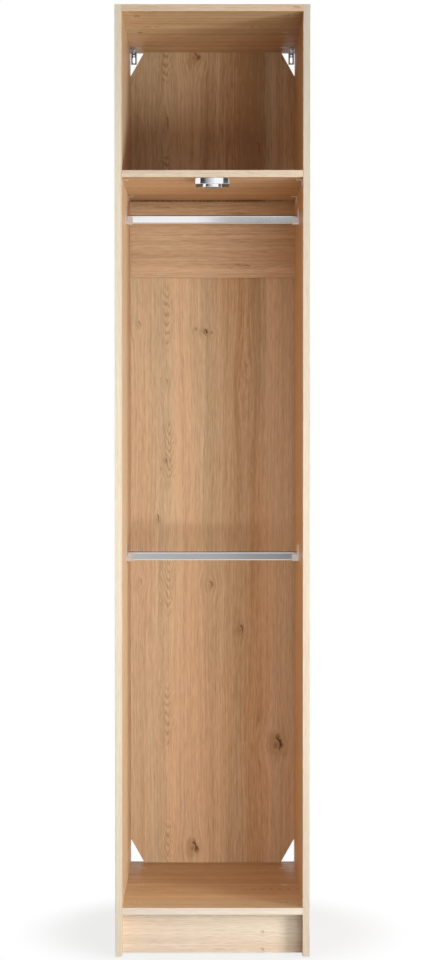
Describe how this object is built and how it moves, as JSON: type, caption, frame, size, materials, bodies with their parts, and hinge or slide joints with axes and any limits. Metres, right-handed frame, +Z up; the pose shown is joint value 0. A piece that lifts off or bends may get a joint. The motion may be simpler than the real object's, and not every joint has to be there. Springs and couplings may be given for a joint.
{
  "type": "open wardrobe carcass",
  "caption": "Tall narrow open wardrobe with hat shelf, lift-out hanging rails, recessed plinth, cut-corner back sheet, slotted wall brackets and a tap light under the shelf.",
  "frame": {"origin": "on the floor, under the middle of the outline", "axes": "+X to the right seen from the front, +Y to the rear, +Z up; the open front faces -Y"},
  "size_m": [0.45, 0.56, 2.2],
  "materials": {
    "oak_board": "printed oak decor, satin",
    "oak_edge": "printed oak decor strip, satin",
    "back_sheet": "printed oak decor on hardboard",
    "rail_metal": "anodised, satin",
    "rail_strip": "matte",
    "bracket_metal": "nickel plated",
    "wall_bracket_steel": "zinc plated",
    "screw_steel": "zinc plated",
    "cam_zinc": "die-cast, bright",
    "dowel_wood": "beech, fluted",
    "glide_plastic": "matte",
    "joint_plastic": "matte",
    "lamp_chrome": "polished",
    "lamp_plastic": "matte",
    "lamp_base": "matte",
    "battery_wrap": "gloss",
    "circuit": "gloss",
    "chip": "gloss",
    "switch_plastic": "matte",
    "lens": "frosted"
  },
  "bodies": {
    "carcass": {"back_joint_strip": "joint_plastic", "back_sheet_lower": "back_sheet", "back_sheet_upper": "back_sheet", "bottom_cam_bolts": "screw_steel", "bottom_cam_locks": "cam_zinc", "bottom_edge_band": "oak_edge", "bottom_panel": "oak_board", "cross_board": "oak_board", "cross_board_cam_bolts": "screw_steel", "cross_board_cam_locks": "cam_zinc", "floor_glides": "glide_plastic", "hat_shelf": "oak_board", "lamp_mounting_plate": "lamp_plastic", "lamp_plate_screws": "screw_steel", "left_edge_band": "oak_edge", "left_side_panel": "oak_board", "lower_rail_bracket_left": "bracket_metal", "lower_rail_bracket_right": "bracket_metal", "plinth_board": "oak_board", "plinth_cam_bolts": "screw_steel", "plinth_cam_locks": "cam_zinc", "rail_bracket_screws": "screw_steel", "right_edge_band": "oak_edge", "right_side_panel": "oak_board", "shelf_edge_band": "oak_edge", "shelf_support_front_left": "bracket_metal", "shelf_support_front_right": "bracket_metal", "shelf_support_rear_left": "bracket_metal", "shelf_support_rear_right": "bracket_metal", "top_cam_bolts": "screw_steel", "top_cam_locks": "cam_zinc", "top_edge_band": "oak_edge", "top_panel": "oak_board", "upper_rail_bracket_left": "bracket_metal", "upper_rail_bracket_right": "bracket_metal", "wall_bracket_left": "wall_bracket_steel", "wall_bracket_right": "wall_bracket_steel", "wall_bracket_screws": "screw_steel", "wooden_dowels": "dowel_wood"},
    "upper_rail": {"upper_rail": "rail_metal", "upper_rail_strip": "rail_strip"},
    "lower_rail": {"lower_rail": "rail_metal", "lower_rail_strip": "rail_strip"},
    "lamp": {"lamp_housing": "lamp_chrome", "lamp_base_plate": "lamp_base", "lamp_batteries": "battery_wrap", "lamp_circuit_board": "circuit", "lamp_light_chips": "chip", "lamp_switch_body": "switch_plastic"},
    "lamp_lens": {"lamp_lens": "lens", "lamp_lens_frame": "lamp_chrome", "lamp_switch_plunger": "switch_plastic"}
  },
  "joints": [
    {"name": "upper_rail_lift", "type": "slide", "parent": "carcass", "child": "upper_rail", "axis": [0, 0, 1], "range_m": [0, 0.05]},
    {"name": "lower_rail_lift", "type": "slide", "parent": "carcass", "child": "lower_rail", "axis": [0, 0, 1], "range_m": [0, 0.05]},
    {"name": "lamp_slide", "type": "slide", "parent": "carcass", "child": "lamp", "axis": [0, -1, 0], "range_m": [0, 0.012]},
    {"name": "lamp_press", "type": "slide", "parent": "lamp", "child": "lamp_lens", "axis": [0, 0, 1], "range_m": [0, 0.0015], "stiffness_N_per_m": 200, "springref_m": -0.002}
  ]
}
